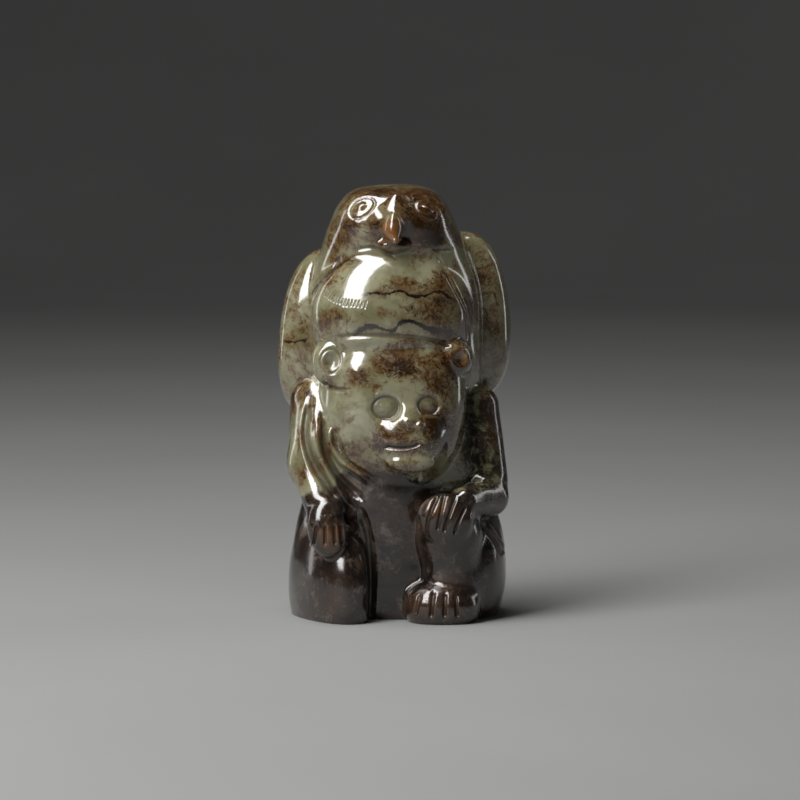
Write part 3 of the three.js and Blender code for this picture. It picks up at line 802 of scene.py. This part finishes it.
class Wire:
    """A node's output. Sums, differences, products and powers of wires add Math nodes."""

    def __init__(self, nodes, socket):
        self.nodes, self.socket = nodes, socket

    def sum(self, how, *parts):
        return self.nodes.add("ShaderNodeMath", {"operation": how}, dict(enumerate(parts)))

    def __add__(self, other):
        return self.sum("ADD", self, other)

    def __sub__(self, other):
        return self.sum("SUBTRACT", self, other)

    def __rsub__(self, other):
        return self.sum("SUBTRACT", other, self)

    def __mul__(self, other):
        return self.sum("MULTIPLY", self, other)

    def __truediv__(self, other):
        return self.sum("DIVIDE", self, other)

    def __rtruediv__(self, other):
        return self.sum("DIVIDE", other, self)

    def __pow__(self, other):
        return self.sum("POWER", self, other)

    def __abs__(self):
        return self.sum("ABSOLUTE", self)

    __radd__ = __add__
    __rmul__ = __mul__

    def step(self, low, high):
        """A soft step from 0 at low to 1 at high."""
        return self.nodes.add(
            "ShaderNodeMapRange", {"interpolation_type": "SMOOTHSTEP"},
            {0: self, 1: low, 2: high, 3: 0.0, 4: 1.0})


class Nodes:
    """A node tree that is filled one node at a time."""

    def __init__(self, tree):
        self.tree = tree
        tree.nodes.clear()

    def add(self, kind, settings=None, inputs=None, out=0):
        """Adds a node: its settings first, then the values or wires of its sockets."""
        node = self.tree.nodes.new(kind)
        for name, value in (settings or {}).items():
            if name == "curve":
                points = node.mapping.curves[0].points
                while len(points) < len(value):
                    points.new(0, 0)
                for point, place in zip(points, value):
                    point.location = place
                node.mapping.update()
            else:
                setattr(node, name, value)
        for name, value in (inputs or {}).items():
            if isinstance(value, Wire):
                self.tree.links.new(value.socket, node.inputs[name])
            else:
                node.inputs[name].default_value = value
        return Wire(self, node.outputs[out]) if node.outputs else Wire(self, None)

    def vector(self, how, *parts):
        """Vector Math on up to three vectors; a scale takes its number last."""
        places = (0, 3) if how == "SCALE" else range(3)
        return self.add("ShaderNodeVectorMath", {"operation": how}, dict(zip(places, parts)),
                        1 if how in ("DOT_PRODUCT", "LENGTH") else 0)

    def blend(self, a, b, amount):
        """From colour a to colour b."""
        a, b = (c if isinstance(c, Wire) else (*c[:3], 1) for c in (a, b))
        return self.add("ShaderNodeMix", {"data_type": "RGBA"}, {0: amount, 6: a, 7: b}, 2)

    def noise(self, at, scale, detail=2.0, rough=0.5, twist=0.0, out=0):
        return self.add("ShaderNodeTexNoise", None,
                        {"Vector": at, "Scale": scale, "Detail": detail, "Roughness": rough, "Distortion": twist}, out)

    def cells(self, at, scale, feature="F1", out=0):
        return self.add("ShaderNodeTexVoronoi", {"feature": feature}, {"Vector": at, "Scale": scale}, out)

    def stored(self, name):
        return self.add("ShaderNodeAttribute", {"attribute_name": name}, None, 2)


# Incised strokes, cut along the guide paths.


STROKE_INPUTS = (
    ("Geometry", "NodeSocketGeometry"), ("Guides", "NodeSocketObject"), ("Spacing", "NodeSocketFloat"),
    ("Width", "NodeSocketFloat"), ("Depth", "NodeSocketFloat"), ("Unevenness", "NodeSocketFloat"),
    ("Seed", "NodeSocketInt"), ("Stone", "NodeSocketMaterial"))


def stroke_tree():
    """Sets a short line across each guide at even steps and sinks the surface along it."""
    tree = bpy.data.node_groups.new("incised_strokes", "GeometryNodeTree")
    for name, kind in STROKE_INPUTS:
        tree.interface.new_socket(name, in_out="INPUT", socket_type=kind)
    tree.interface.new_socket("Geometry", in_out="OUTPUT", socket_type="NodeSocketGeometry")
    n = Nodes(tree)
    entry = tree.nodes.new("NodeGroupInput")
    given = {name: Wire(n, entry.outputs[name]) for name, _ in STROKE_INPUTS}

    def read(name, kind="FLOAT"):
        return n.add("GeometryNodeInputNamedAttribute", {"data_type": kind}, {"Name": name})

    guides = n.add("GeometryNodeObjectInfo", None, {"Object": given["Guides"]}, "Geometry")
    path = n.add("GeometryNodeMeshToCurve", None, {"Mesh": guides})
    steps = n.add("GeometryNodeResampleCurve", {"mode": "LENGTH"}, {"Curve": path, "Length": given["Spacing"]})
    uneven = n.add("FunctionNodeRandomValue", {"data_type": "FLOAT"},
                   {2: -1.0, 3: 1.0, "Seed": given["Seed"]}, 1) * given["Unevenness"]
    facing = n.add("FunctionNodeAxesToRotation", None, {
        "Primary Axis": read("out", "FLOAT_VECTOR"),
        "Secondary Axis": n.add("GeometryNodeInputTangent")})
    turn = n.add("FunctionNodeAxisAngleToRotation", None,
                 {"Axis": (0, 0, 1), "Angle": read("slant") + uneven * 0.35})
    aim = n.add("FunctionNodeRotateRotation", {"rotation_space": "LOCAL"}, {0: facing, 1: turn})
    mark = n.add("GeometryNodeMeshLine", {"mode": "END_POINTS"},
                 {"Count": 2, "Start Location": (-0.5, 0, 0), "Offset": (0.5, 0, 0)})
    size = n.add("ShaderNodeCombineXYZ", None, {0: read("long") * (1 + uneven), 1: 1.0, 2: 1.0})
    marks = n.add("GeometryNodeInstanceOnPoints", None,
                  {"Points": steps, "Instance": mark, "Rotation": aim, "Scale": size})
    lines = n.add("GeometryNodeRealizeInstances", None, {0: marks})
    away = n.add("GeometryNodeProximity", {"target_element": "EDGES"}, {"Geometry": lines}, "Distance")
    cut = 1 - (away / given["Width"]).step(0.0, 1.0)
    normal = n.add("GeometryNodeInputNormal")
    sunk = n.add("GeometryNodeSetPosition", None, {
        "Geometry": given["Geometry"],
        "Offset": n.vector("SCALE", normal, cut * given["Depth"] * -1)})
    told = n.add("GeometryNodeStoreNamedAttribute", {"data_type": "FLOAT", "domain": "POINT"},
                 {"Geometry": sunk, "Name": "stroke", "Value": cut})
    whole = n.add("GeometryNodeRealizeInstances", None, {0: told})
    done = n.add("GeometryNodeSetMaterial", None, {"Geometry": whole, "Material": given["Stone"]})
    n.add("NodeGroupOutput", None, {"Geometry": done})
    return tree


def cut_strokes(piece, guides, values):
    """Runs the stroke tree on the piece and keeps its result as a plain mesh."""
    tree = stroke_tree()
    modifier = piece.modifiers.new("incised strokes", "NODES")
    modifier.node_group = tree
    for item in tree.interface.items_tree:
        if item.in_out == "INPUT" and item.name in values:
            modifier[item.identifier] = values[item.name]
    bpy.context.view_layer.update()
    seen_now = piece.evaluated_get(bpy.context.evaluated_depsgraph_get())
    mesh = bpy.data.meshes.new_from_object(seen_now)
    piece.modifiers.remove(modifier)
    old = piece.data
    piece.data = mesh
    bpy.data.meshes.remove(old)
    mesh.name = PIECE
    bpy.data.objects.remove(guides)


# The stone: celadon nephrite with russet and umber stains and a dark mottled foot, with painted shade, painted
# highlights and a painted glow laid into its colour.


# A wandering vein: where it starts and ends, how wide, how dark, and its line in the drawing plane.
VEINS = (
    (0.34, 1.0, ((-6.5, 44.0), (-5.1, 44.5), (-3.5, 45.1), (-1.8, 44.7), (-0.4, 44.4), (0.9, 45.6),
                  (2.4, 45.9), (4.0, 45.3), (5.8, 44.5), (7.9, 44.0))),
    (0.17, 0.95, ((-5.4, 49.7), (-3.0, 50.3), (-1.0, 50.1), (0.9, 50.6), (2.7, 49.8), (4.6, 49.8),
                  (6.5, 50.4), (8.3, 49.7), (9.9, 48.6))),
    (0.12, 0.9, ((-18.4, 43.1), (-17.2, 42.8), (-16.3, 42.6), (-14.7, 42.8), (-13.3, 43.1))),
    (0.2, 0.7, ((-13.3, 49.7), (-11.6, 51.7), (-9.7, 53.7), (-7.7, 55.1), (-6.5, 55.8))),
)


def stone(colours):
    """The jade's material."""
    material = bpy.data.materials.new("mottled_jade")
    material.use_nodes = True
    n = Nodes(material.node_tree)
    at = n.vector("SCALE", n.add("ShaderNodeTexCoord", None, None, "Object"), 1 / MM)
    drift = n.noise(at, 0.22, 3.0, 0.5, 0.0, 1)
    loose = n.vector("MULTIPLY_ADD", drift, (5.0, 5.0, 5.0), at)
    cloud = n.noise(loose, 0.17, 4.0, 0.55)
    blot = n.noise(loose, 0.42, 8.0, 0.62)
    speck = n.noise(loose, 1.5, 6.0, 0.65)
    grain = n.noise(at, 7.0, 3.0, 0.6)
    crinkle = n.noise(loose, 0.55, 6.0, 0.58, 0.25)
    thread = (1 - abs(crinkle * 2 - 1)).step(0.93, 0.99)
    # grey carries the dark lower stone and the shade painted down the right side; pale also carries painted
    # highlights.
    russet, umber, pale, grey = (n.stored(k) for k in ("russet", "umber", "pale", "dusk"))
    hollow, thin, stroke = (n.stored(k) for k in ("hollow", "thin", "stroke"))
    everywhere = n.stored("mottle")
    place = n.add("ShaderNodeSeparateXYZ", None, {0: at})
    x, y, z = (Wire(n, place.socket.node.outputs[k]) for k in range(3))

    # The green stone, cloudy, with stains that break up into grains and threads at their rims.
    green = n.blend(colours["green_deep"], colours["green"], cloud.step(0.4, 0.58))
    # The pale mask also lays the painted highlight on the forehead into the milk colour.
    green = n.blend(green, colours["milk"], (pale * 0.6 + (cloud - 0.5) * 1.5 + (speck - 0.5) * 0.7).step(0.12, 0.7) * 0.9)
    green = n.blend(green, colours["moss"], ((blot - 0.5) * 2.4 + (speck - 0.5) * 1.3 + everywhere * 0.4).step(0.08, 0.7) * 0.7)
    reach = russet + everywhere + (blot - 0.5) * 2.0
    grains = (speck - 0.5) * 1.9 + (grain - 0.5) * 0.8
    colour = n.blend(green, colours["ochre"], (reach + grains * 0.6).step(0.12, 0.8) * 0.8)
    colour = n.blend(colour, colours["russet"], (reach * 0.8 + grains).step(0.28, 0.9) * 0.92)
    # The umber mask paints dark stain cores and also painted shade under the chin, on the belly and down the right
    # side.
    colour = n.blend(colour, colours["umber"], (reach * 0.55 + umber * 0.6 + grains * 1.1).step(0.42, 0.95) * 0.95)
    threads = thread * (russet + everywhere * 0.6 + (cloud - 0.5) * 1.6 + (speck - 0.5)).step(0.25, 0.75)
    colour = n.blend(colour, colours["umber"], threads * 0.75)

    # Single veins that wander across the breast and the wing.
    wander = (speck - 0.5) * 1.5 + (grain - 0.5) * 0.6
    near = 1 / (1 + y * (1 / SEEN_FROM))
    across, height = x * near, SEEN_MID + (z + y * SEEN_SLOPE - SEEN_MID) * near
    front = 1 - y.step(2.0, 4.0)
    for width, strength, path in VEINS:
        (x0, _), (x1, _) = path[0], path[-1]
        w0, w1 = min(w for _, w in path) - 0.5, max(w for _, w in path) + 0.5
        along = (across - x0) / (x1 - x0)
        curve = [((a - x0) / (x1 - x0), (w - w0) / (w1 - w0)) for a, w in path]
        centre = n.add("ShaderNodeFloatCurve", {"curve": curve}, {"Value": along}) * (w1 - w0) + w0
        off = abs(height - centre + wander * 0.8)
        ends = along.step(-0.02, 0.08) * (1 - along.step(0.9, 1.02))
        broad = (blot * 3.0 - 0.6) * width + 0.03
        core = (1 - (off / broad).step(0.7, 1.7)) * ends * front
        halo = (1 - (off / (broad * 4 + 0.2)).step(0.0, 1.3)) * ends * front
        colour = n.blend(colour, colours["ochre"], halo * 0.5 * strength)
        colour = n.blend(colour, colours["ink"], core * strength)

    # The dark foot: brown, grey and blackish mottling with paler cloudy spots. Its mask also lays this dark colour on
    # the right side as painted shade, and its pale spots include a painted highlight on the chest.
    # The pale mask also lays the painted highlight on the chest into the ash colour.
    brown = n.blend(colours["dusk"], colours["ash"],
                    ((blot - 0.5) * 2.6 + (speck - 0.5) * 1.8 + (grain - 0.5) * 0.7 + pale * 0.8).step(0.02, 0.8))
    brown = n.blend(brown, colours["liver"], (russet * 0.8 + (cloud - 0.5) * 2.0 + (speck - 0.5) * 0.9).step(0.0, 0.6) * 0.7)
    # Blackish patches follow the umber mask, so they also paint shade on the belly and down the right side.
    brown = n.blend(brown, colours["ink"], (umber * 0.55 - (blot - 0.5) * 2.0 - (cloud - 0.5) * 1.6
                                            + (speck - 0.5) * 0.9).step(0.0, 0.42) * 0.85)
    colour = n.blend(colour, brown, (grey + (blot - 0.5) * 1.5 + (speck - 0.5) * 0.5).step(0.3, 0.7))

    # Thin places get a painted orange glow, as of light shining through the stone, and old dirt stays in the grooves.
    colour = n.blend(colour, colours["glow"], (thin * (0.55 + russet * 0.6) + (speck - 0.5) * 0.3).step(0.42, 0.95) * 0.55)
    # One mask for painted shade in the creases between parts and real dirt in the carved lines.
    dirt = (hollow + (speck - 0.5) * 0.5).step(0.3, 0.95)
    colour = n.blend(colour, colours["dirt"], dirt * 0.45)
    colour = n.blend(colour, colours["dirt"], stroke.step(0.25, 0.8) * 0.72)

    # A soft polish, duller in the hollows, with fine scratches and a few pits.
    smooth = 0.10 + grey * 0.05 + dirt * 0.22 + (speck - 0.5) * 0.10 + (grain - 0.5) * 0.05
    hair = n.noise(n.vector("MULTIPLY", loose, (3.0, 3.0, 0.35)), 6.0, 2.0, 0.6)
    pit = (1 - n.cells(loose, 0.9).step(0.05, 0.17)) * (blot - speck * 0.4).step(0.33, 0.4)
    height_map = speck * 0.9 + grain * 0.22 + hair * 0.16 - pit * 2.6 - threads * 0.5
    skin = n.add("ShaderNodeBump", None, {"Strength": 1.0, "Distance": colours["unevenness"], "Height": height_map})
    jade = n.add("ShaderNodeBsdfPrincipled", None, {
        "Base Color": colour, "Roughness": smooth, "Normal": skin, "IOR": 1.61,
        "Coat Weight": 1 - dirt * 0.8 - grey * (1 - dirt * 0.8) * 0.55, "Coat Roughness": 0.07, "Coat IOR": 1.6,
        "Subsurface Weight": colours["clearness"], "Subsurface Radius": (1.0, 0.72, 0.42),
        "Subsurface Scale": 1.6 * MM})
    n.add("ShaderNodeOutputMaterial", None, {"Surface": jade})
    return material


# The floor, the light and the camera.


CAMERA_HEIGHT = math.radians(5.0)
CAMERA_AWAY = 0.65
CAMERA_TARGET = Vector((0.0009, 0.0, 0.0336))
CAMERA_WIDE = 0.1244
SENSOR = 36.0


def floor_mesh():
    """A flat round floor whose far edge sweeps up, so that no line shows behind the piece."""
    flat, rise, turns = 0.75, 0.55, 96
    profile = [(r, 0.0) for r in (0.0, 0.2, 0.45, flat)]
    profile += [(flat + rise * math.sin(a), rise * (1 - math.cos(a))) for a in np.linspace(0.1, 1.45, 14)]
    points, faces = [], []
    for r, z in profile[1:]:
        points += [(r * math.cos(a), r * math.sin(a), z) for a in np.arange(turns) * 2 * math.pi / turns]
    points.append((0.0, 0.0, 0.0))
    for i in range(turns):
        j = (i + 1) % turns
        faces.append((len(points) - 1, i, j))
        for k in range(len(profile) - 2):
            a, b = k * turns, (k + 1) * turns
            faces.append((a + i, b + i, b + j, a + j))
    mesh = bpy.data.meshes.new("floor")
    mesh.from_pydata(points, [], faces)
    mesh.shade_smooth()
    return mesh


def floor_material(colour):
    material = bpy.data.materials.new("floor")
    material.use_nodes = True
    n = Nodes(material.node_tree)
    at = n.add("ShaderNodeTexCoord", None, None, "Object")
    soft = n.noise(at, 9.0, 3.0, 0.5)
    paint = n.blend([c * 0.94 for c in colour], colour, soft.step(0.3, 0.7))
    matt = n.add("ShaderNodeBsdfPrincipled", None, {"Base Color": paint, "Roughness": 0.75})
    n.add("ShaderNodeOutputMaterial", None, {"Surface": matt})
    return material


def softbox(name, towards, away, along, wide, long, power, colour=(1, 1, 1)):
    """A rectangular light that faces the piece, its long side turned along a direction."""
    light = bpy.data.lights.new(name, "AREA")
    light.shape = "RECTANGLE"
    light.size, light.size_y, light.energy, light.color = wide, long, power, colour
    back = Vector(towards).normalized()
    up = Vector(along)
    up = (up - back * up.dot(back)).normalized()
    side = up.cross(back)
    lamp = bpy.data.objects.new(name, light)
    lamp.matrix_world = Matrix.Translation(back * away + Vector((0, 0, 0.035))) \
        @ Matrix((side, up, back)).transposed().to_4x4()
    lamp.visible_camera = False
    bpy.context.scene.collection.objects.link(lamp)


def add_camera():
    data = bpy.data.cameras.new("camera")
    data.sensor_width = SENSOR
    data.lens = SENSOR * CAMERA_AWAY / CAMERA_WIDE
    data.clip_start, data.clip_end = 0.01, 10.0
    camera = bpy.data.objects.new("camera", data)
    back = Vector((0, -math.cos(CAMERA_HEIGHT), math.sin(CAMERA_HEIGHT)))
    camera.location = CAMERA_TARGET + back * CAMERA_AWAY
    camera.rotation_mode = "QUATERNION"
    camera.rotation_quaternion = (-back).to_track_quat("-Z", "Y")
    bpy.context.scene.collection.objects.link(camera)
    bpy.context.scene.camera = camera


# What a user can change.


def colour_value(name, description, default):
    return bpy.props.FloatVectorProperty(
        name=name, description=description, default=default, size=3, min=0, max=1, subtype="COLOR")


class JadeStone(bpy.types.PropertyGroup):
    """The stone and how it is cut."""
    green: colour_value("Green", "The clear celadon stone", (0.250, 0.238, 0.150))
    green_deep: colour_value("Deep green", "Darker clouds in the green stone", (0.165, 0.158, 0.088))
    # Milk also paints the highlight on the forehead.
    milk: colour_value("Milk", "Pale milky clouds", (0.400, 0.385, 0.275))
    moss: colour_value("Moss", "Olive clouds in the green stone", (0.105, 0.088, 0.038))
    ochre: colour_value("Ochre", "The rim of a stain", (0.150, 0.098, 0.040))
    russet: colour_value("Russet", "The body of a stain", (0.085, 0.036, 0.010))
    # Umber is also the colour of painted shade under the chin, on the belly and down the right side.
    umber: colour_value("Umber", "The core of a stain", (0.020, 0.009, 0.003))
    # Ink also darkens the painted shade on the belly and down the right side.
    ink: colour_value("Ink", "Veins and the darkest spots", (0.007, 0.005, 0.004))
    # Dark stone colour, also laid down the right side as painted shade.
    dusk: colour_value("Dusk", "The dark stone of the lower half", (0.024, 0.016, 0.012))
    # Ash also paints the highlight on the chest.
    ash: colour_value("Ash", "Grey spots in the dark stone", (0.120, 0.092, 0.074))
    liver: colour_value("Liver", "Brown parts of the dark stone", (0.050, 0.023, 0.010))
    # A painted glow: the colour of light shining through thin stone.
    glow: colour_value("Glow", "Where the stone is thin", (0.30, 0.13, 0.035))
    # Dirt in the grooves, also the colour of painted shade in the creases between parts.
    dirt: colour_value("Dirt", "What is left in the grooves", (0.045, 0.028, 0.015))
    clearness: bpy.props.FloatProperty(
        name="Clearness", description="How much light passes under the surface", default=0.35, min=0, max=1,
        subtype="FACTOR")
    unevenness: bpy.props.FloatProperty(
        name="Unevenness", description="Depth of the finest marks in the polish", default=0.00002, min=0, max=0.001,
        precision=6, unit="LENGTH")
    stroke_spacing: bpy.props.FloatProperty(
        name="Stroke spacing", description="From one feather stroke to the next", default=0.00055, min=0.0002,
        max=0.005, precision=5, unit="LENGTH")
    stroke_width: bpy.props.FloatProperty(
        name="Stroke width", description="Half the width of a feather stroke", default=0.00016, min=0.00005,
        max=0.001, precision=5, unit="LENGTH")
    stroke_depth: bpy.props.FloatProperty(
        name="Stroke depth", description="How deep a feather stroke is cut", default=0.00010, min=0, max=0.001,
        precision=5, unit="LENGTH")


class JadeStage(bpy.types.PropertyGroup):
    """The floor and the light."""
    floor: colour_value("Floor", "The pale floor", (0.26, 0.26, 0.255))
    surroundings: colour_value("Surroundings", "The dim room around the stage", (0.008, 0.008, 0.009))
    key_power: bpy.props.FloatProperty(
        name="Key light", description="Power of the long softbox at the upper left", default=4.2, min=0,
        unit="POWER")
    rim_power: bpy.props.FloatProperty(
        name="Rim lights", description="Power of the narrow lights behind both sides", default=0.15, min=0,
        unit="POWER")


class JADE_OT_carving(bpy.types.Operator):
    """Builds the bear and the bird as one solid stone"""
    bl_idname = "jade.carving"
    bl_label = "Bear and bird"

    def execute(self, context):
        given = context.scene.jade_stone
        guide_mesh, points, edges = guide_lines(STROKE_ROWS)
        v, tri, out = carve(points, edges)
        low, high = v.min(0), v.max(0)
        middle = np.array([(low[0] + high[0]) / 2, (low[1] + high[1]) / 2, 0.0])
        middle -= np.array([*((CAD_BOX[0] + CAD_BOX[1]) / 2 / MM)][:2] + [0.0])
        mesh = stone_mesh(v, tri, out, middle)
        guide_mesh.transform(Matrix.Translation(-Vector(middle) * MM))
        names = ("green", "green_deep", "milk", "moss", "ochre", "russet", "umber", "ink", "dusk", "ash", "liver", "glow", "dirt")
        colours = {k: tuple(getattr(given, k)) for k in names}
        colours.update(clearness=given.clearness, unevenness=given.unevenness)
        material = stone(colours)
        mesh.materials.append(material)
        piece = bpy.data.objects.new(PIECE, mesh)
        guides = bpy.data.objects.new("stroke_guides", guide_mesh)
        for item in (piece, guides):
            context.scene.collection.objects.link(item)
        cut_strokes(piece, guides, {
            "Guides": guides, "Spacing": given.stroke_spacing, "Width": given.stroke_width,
            "Depth": given.stroke_depth, "Unevenness": 0.22, "Seed": 5, "Stone": material})
        count = len(piece.data.polygons)
        print("carving:", len(piece.data.vertices), "points,", count, "triangles")
        if not 20000 < count < 200000:
            raise RuntimeError("the carving has " + str(count) + " triangles")
        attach(piece, BODY)
        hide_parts(NODE)
        return {"FINISHED"}


class JADE_OT_stage(bpy.types.Operator):
    """Sets the pale floor, the soft light and the camera"""
    bl_idname = "jade.stage"
    bl_label = "Floor, light and camera"

    def execute(self, context):
        given = context.scene.jade_stage
        mesh = floor_mesh()
        mesh.materials.append(floor_material(tuple(given.floor)))
        floor = bpy.data.objects.new("floor", mesh)
        context.scene.collection.objects.link(floor)
        softbox("key", (-0.43, -0.38, 0.82), 0.42, (-0.50, -0.67, -0.54), 0.20, 0.72, given.key_power)
        softbox("rim_right", (0.93, 0.30, 0.20), 0.45, (0, 0, 1), 0.05, 0.40, given.rim_power)
        softbox("rim_left", (-0.90, 0.42, 0.20), 0.45, (0, 0, 1), 0.05, 0.40, given.rim_power)
        room = bpy.data.worlds.new("room")
        room.use_nodes = True
        room.node_tree.nodes["Background"].inputs[0].default_value = (*given.surroundings, 1)
        context.scene.world = room
        context.scene.view_settings.view_transform = "Standard"
        add_camera()
        return {"FINISHED"}


class JADE_PT_panel(bpy.types.Panel):
    """Lists the steps and what can be changed"""
    bl_idname = "JADE_PT_panel"
    bl_label = "Jade bear and bird"
    bl_space_type = "VIEW_3D"
    bl_region_type = "UI"
    bl_category = "Jade"

    def draw(self, context):
        for group, step in ((context.scene.jade_stone, JADE_OT_carving), (context.scene.jade_stage, JADE_OT_stage)):
            box = self.layout.box()
            for name in group.bl_rna.properties.keys():
                if name not in ("rna_type", "name"):
                    box.prop(group, name)
            box.operator(step.bl_idname)


CLASSES = (JadeStone, JadeStage, JADE_OT_carving, JADE_OT_stage, JADE_PT_panel)


def register():
    for part in CLASSES:
        bpy.utils.register_class(part)
    bpy.types.Scene.jade_stone = bpy.props.PointerProperty(type=JadeStone)
    bpy.types.Scene.jade_stage = bpy.props.PointerProperty(type=JadeStage)


def unregister():
    del bpy.types.Scene.jade_stone
    del bpy.types.Scene.jade_stage
    for part in reversed(CLASSES):
        bpy.utils.unregister_class(part)


def main():
    register()
    bpy.ops.jade.carving()
    bpy.ops.jade.stage()


if __name__ == "__main__":
    main()
